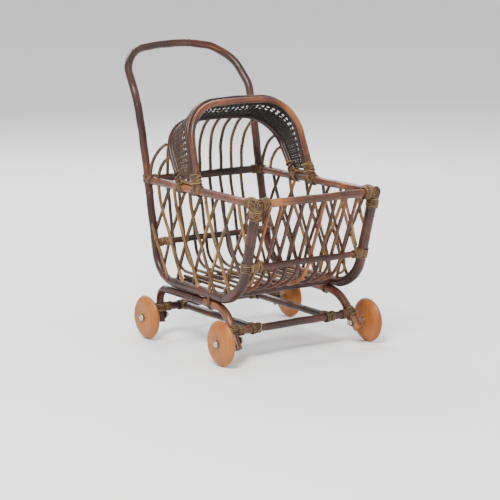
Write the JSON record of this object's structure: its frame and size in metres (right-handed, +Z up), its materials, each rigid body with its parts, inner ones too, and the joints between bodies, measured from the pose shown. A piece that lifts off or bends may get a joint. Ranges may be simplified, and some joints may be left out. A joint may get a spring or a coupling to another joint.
{
  "type": "doll stroller",
  "caption": "Rattan doll stroller: an open cane basket with a woven hood band, a bent push handle and a chassis of bent arches on turned wooden wheels.",
  "frame": {"origin": "on the ground, in the middle of the outer box", "axes": "+X across the stroller, -Y to the front, +Y to the handle, +Z up"},
  "size_m": [0.3478, 0.4786, 0.5278],
  "materials": {
    "dark_cane": "varnished rattan pole, dark red-brown",
    "red_cane": "varnished rattan pole, red-brown",
    "gold_cane": "varnished thin cane, golden olive-brown",
    "binding_cane": "flat cane windings, tan, satin",
    "wheel_wood": "turned wood, clear lacquer",
    "bolt_steel": "satin, slightly bronzed"
  },
  "bodies": {
    "stroller_frame": {"push_handle": "dark_cane", "side_frame_left": "dark_cane", "side_frame_right": "dark_cane", "rim_left": "red_cane", "rim_right": "red_cane", "rim_front": "red_cane", "rim_rear": "dark_cane", "rim_doubler_left": "gold_cane", "rim_doubler_right": "gold_cane", "mid_rail_front": "dark_cane", "mid_rail_rear": "dark_cane", "bottom_rail_front": "dark_cane", "bottom_rail_rear": "dark_cane", "hood_front_hoop": "red_cane", "hood_second_hoop": "dark_cane", "hood_rear_hoop": "dark_cane", "hood_inner_hoop": "dark_cane", "hood_edge_rod": "dark_cane", "hood_band": "gold_cane", "hood_canes": "gold_cane", "side_canes_left_outer": "gold_cane", "side_canes_left_inner": "gold_cane", "side_canes_right_outer": "gold_cane", "side_canes_right_inner": "gold_cane", "front_canes_steep": "red_cane", "front_canes_slanted": "gold_cane", "rear_canes": "gold_cane", "floor_canes": "gold_cane", "arch_front_left": "dark_cane", "arch_rear_left": "dark_cane", "arch_front_right": "dark_cane", "arch_rear_right": "dark_cane", "axle_rod_front": "dark_cane", "axle_rod_rear": "dark_cane", "stretcher_left": "dark_cane", "stretcher_right": "dark_cane", "axle_bolts": "bolt_steel", "axle_nuts": "bolt_steel", "axle_washers": "bolt_steel", "axle_spacers": "bolt_steel", "front_corner_bindings": "binding_cane", "rear_corner_bindings": "binding_cane", "front_hoop_bindings": "binding_cane", "rear_hoop_bindings": "binding_cane", "mid_rail_bindings": "binding_cane", "sill_bindings": "binding_cane", "axle_bindings": "binding_cane", "stretcher_bindings": "binding_cane"},
    "front_left_wheel": {"wheel_front_left": "wheel_wood"},
    "front_right_wheel": {"wheel_front_right": "wheel_wood"},
    "rear_left_wheel": {"wheel_rear_left": "wheel_wood"},
    "rear_right_wheel": {"wheel_rear_right": "wheel_wood"}
  },
  "joints": [
    {"name": "wheel_front_left_spin", "type": "hinge", "parent": "stroller_frame", "child": "front_left_wheel", "pos_m": [-0.1588, -0.16966, 0.04], "axis": [1, 0, 0], "continuous": true},
    {"name": "wheel_front_right_spin", "type": "hinge", "parent": "stroller_frame", "child": "front_right_wheel", "pos_m": [0.1588, -0.16966, 0.04], "axis": [1, 0, 0], "continuous": true},
    {"name": "wheel_rear_left_spin", "type": "hinge", "parent": "stroller_frame", "child": "rear_left_wheel", "pos_m": [-0.1588, 0.07384, 0.04], "axis": [1, 0, 0], "continuous": true},
    {"name": "wheel_rear_right_spin", "type": "hinge", "parent": "stroller_frame", "child": "rear_right_wheel", "pos_m": [0.1588, 0.07384, 0.04], "axis": [1, 0, 0], "continuous": true}
  ]
}
